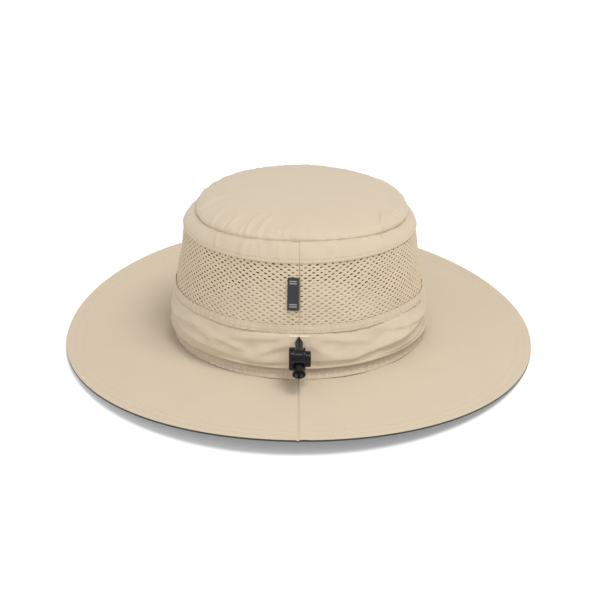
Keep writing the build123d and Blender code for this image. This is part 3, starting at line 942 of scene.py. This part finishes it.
# ---------------------------------------------------------------- label
def make_label():
    """Folded flag label with plain woven bars; its right edge is caught in the back seam."""
    width, height = LABEL_SIZE
    columns, rows = 28, 60
    turn = np.linspace(0, 1, columns)
    front_x = -0.15 - turn * (width - 0.35)
    lift = 0.30 + 0.18 * np.sin(math.pi * turn)
    fold_turn = np.linspace(0.5, -0.5, 7)[1:-1] * math.pi
    fold_x = -width + 0.2 - 0.2 * np.cos(fold_turn)
    x = np.concatenate([front_x, fold_x, front_x[::-1]])
    out = np.concatenate([lift + 0.42, 0.36 + 0.3 * np.sin(fold_turn), lift * 0.4 + 0.02])
    share = np.linspace(0, 1, rows)[:, None]
    w = LABEL_BOTTOM + share * height + 0 * x
    wavy = 0.10 * np.sin(share * 9 + 1.0) + 0 * x
    points = wall_point([MESH_BOTTOM, MESH_TOP], x + 0 * share, w, 0.32 + out + wavy)
    faces = grid_faces(rows, len(x), False, True)
    piece = add_mesh("label_cloth", points.reshape(-1, 3), faces, label_cloth,
                     np.stack([x + 0 * share, w], axis=-1).reshape(-1, 2))
    piece.data.materials.append(label_bar)
    bars = ((2.0, 2.8), (3.5, 4.0), (height - 4.0, height - 3.5), (height - 2.8, height - 2.0))
    for polygon in piece.data.polygons:
        row_index = polygon.vertices[0] // len(x)
        column = polygon.vertices[0] % len(x)
        up = row_index / (rows - 1) * height
        inside = 4 < column < columns - 5
        if inside and any(low <= up <= high for low, high in bars):
            polygon.material_index = 1
    return piece


keep(make_label(), "flag_label", "label_weave", "woven_label")


# ---------------------------------------------------------------- stitching
def wall_path(place, w):
    """Path round a wall at that height, for a row of stitches."""
    def path(s, lift):
        return place(wrapped(s), w + 0 * s, -lift + 0 * s)
    return path


def brim_path(inset, face=1):
    def path(angle_mm, lift):
        phi = angle_mm / RIM_RADIUS
        inward = inset + 0 * phi
        if face > 0:
            return brim_point(phi, inward, BRIM_THICK + brim_relief(phi, inward) + lift)
        return brim_point(phi, inward, 0.55 * brim_relief(phi, inward) - lift)
    return path


def make_stitching():
    ring = (-HALF_ROUND, HALF_ROUND)
    vents = (-FRONT_SEAM_S, FRONT_SEAM_S)
    crown_rows = joined(
        row(wall_path(place_upper, UPPER_ROWS[0]), *ring, 3),
        row(wall_path(place_upper, UPPER_ROWS[1]), *ring, 4),
        row(wall_path(place_tape, TAPE_ROWS[0]), *vents, 5),
        row(wall_path(place_tape, TAPE_ROWS[1]), *vents, 6),
        row(wall_path(place_base, BASE_ROW), *ring, 7),
    )
    keep(stitches("crown_stitching", *crown_rows, thread), "hat", "sewing_thread")
    rim = (-RIM_RADIUS * math.pi, RIM_RADIUS * math.pi)
    top_rows = joined(*[row(brim_path(inset), *rim, 8) for inset in RIM_ROWS])
    keep(stitches("brim_stitching", *top_rows, thread), "hat", "sewing_thread")
    under_rows = joined(*[row(brim_path(inset, -1), *rim, 9) for inset in RIM_ROWS])
    keep(stitches("underbrim_stitching", *under_rows, dark_thread), "hat", "sewing_thread")
    band_rows = row(wall_path(sweatband_inside, 1.0), *ring, 10)
    keep(stitches("sweatband_stitching", *band_rows, dark_thread), "hat", "sewing_thread")


def make_bartack():
    """Satin stitches side by side across the top of the slit."""
    s = np.linspace(*BARTACK_SPAN, 41)
    low, high = [place_band(s, height + 0 * s, -0.1 + 0 * s) for height in BARTACK_HEIGHTS]
    middle = sum(BARTACK_HEIGHTS) / 2 + 0 * s
    up = place_band(s, middle, -1.1 + 0 * s) - place_band(s, middle, -0.1 + 0 * s)
    up /= np.linalg.norm(up, axis=1, keepdims=True)
    piece = stitches("bartack_thread", low, high, up, pale_thread)
    keep(piece, "hat", "sewing_thread", "exit_bartack")


make_stitching()
make_bartack()


# ---------------------------------------------------------------- CAD pieces that stay
def paint(name, material):
    piece = bpy.data.objects[name]
    piece.data.materials.clear()
    piece.data.materials.append(material)


for name, material in (("lock_body", plastic), ("lock_plunger", plastic), ("cord_end", rubber)):
    paint(name, material)


# ---------------------------------------------------------------- floor and light
def add_area(name, size, power, position, target):
    data = bpy.data.lights.new(name, "AREA")
    data.shape = "SQUARE"
    data.size = size
    data.energy = power
    lamp = bpy.data.objects.new(name, data)
    bpy.context.scene.collection.objects.link(lamp)
    lamp.location = position
    lamp.rotation_euler = (Vector(target) - Vector(position)).to_track_quat("-Z", "Y").to_euler()


def add_stage():
    floor_material = new_material("Floor", (0.93, 0.93, 0.93), 0.9)
    glow = floor_material.node_tree.nodes["Principled BSDF"].inputs
    glow["Emission Color"].default_value = (1, 1, 1, 1)
    glow["Emission Strength"].default_value = 0.22
    mesh = bpy.data.meshes.new("Floor")
    half = 6.0
    corners = [(-half, -half, 0), (half, -half, 0), (half, half, 0), (-half, half, 0)]
    mesh.from_pydata(corners, [], [(0, 1, 2, 3)])
    mesh.materials.append(floor_material)
    floor = bpy.data.objects.new("Floor", mesh)
    bpy.context.scene.collection.objects.link(floor)
    floor.location = (0, 0, -0.0005)


def add_light():
    bpy.context.scene.view_settings.view_transform = "Standard"
    world = bpy.data.worlds.new("World")
    bpy.context.scene.world = world
    world.use_nodes = True
    world.node_tree.nodes["Background"].inputs["Color"].default_value = (1, 1, 1, 1)
    world.node_tree.nodes["Background"].inputs["Strength"].default_value = 0.575
    add_area("Key", 1.1, 31.5, (0.65, -0.55, 2.2), (0, 0, 0.05))
    add_area("Fill", 2.0, 9.3, (-1.4, -1.9, 1.2), (0, 0, 0.05))


add_stage()
add_light()
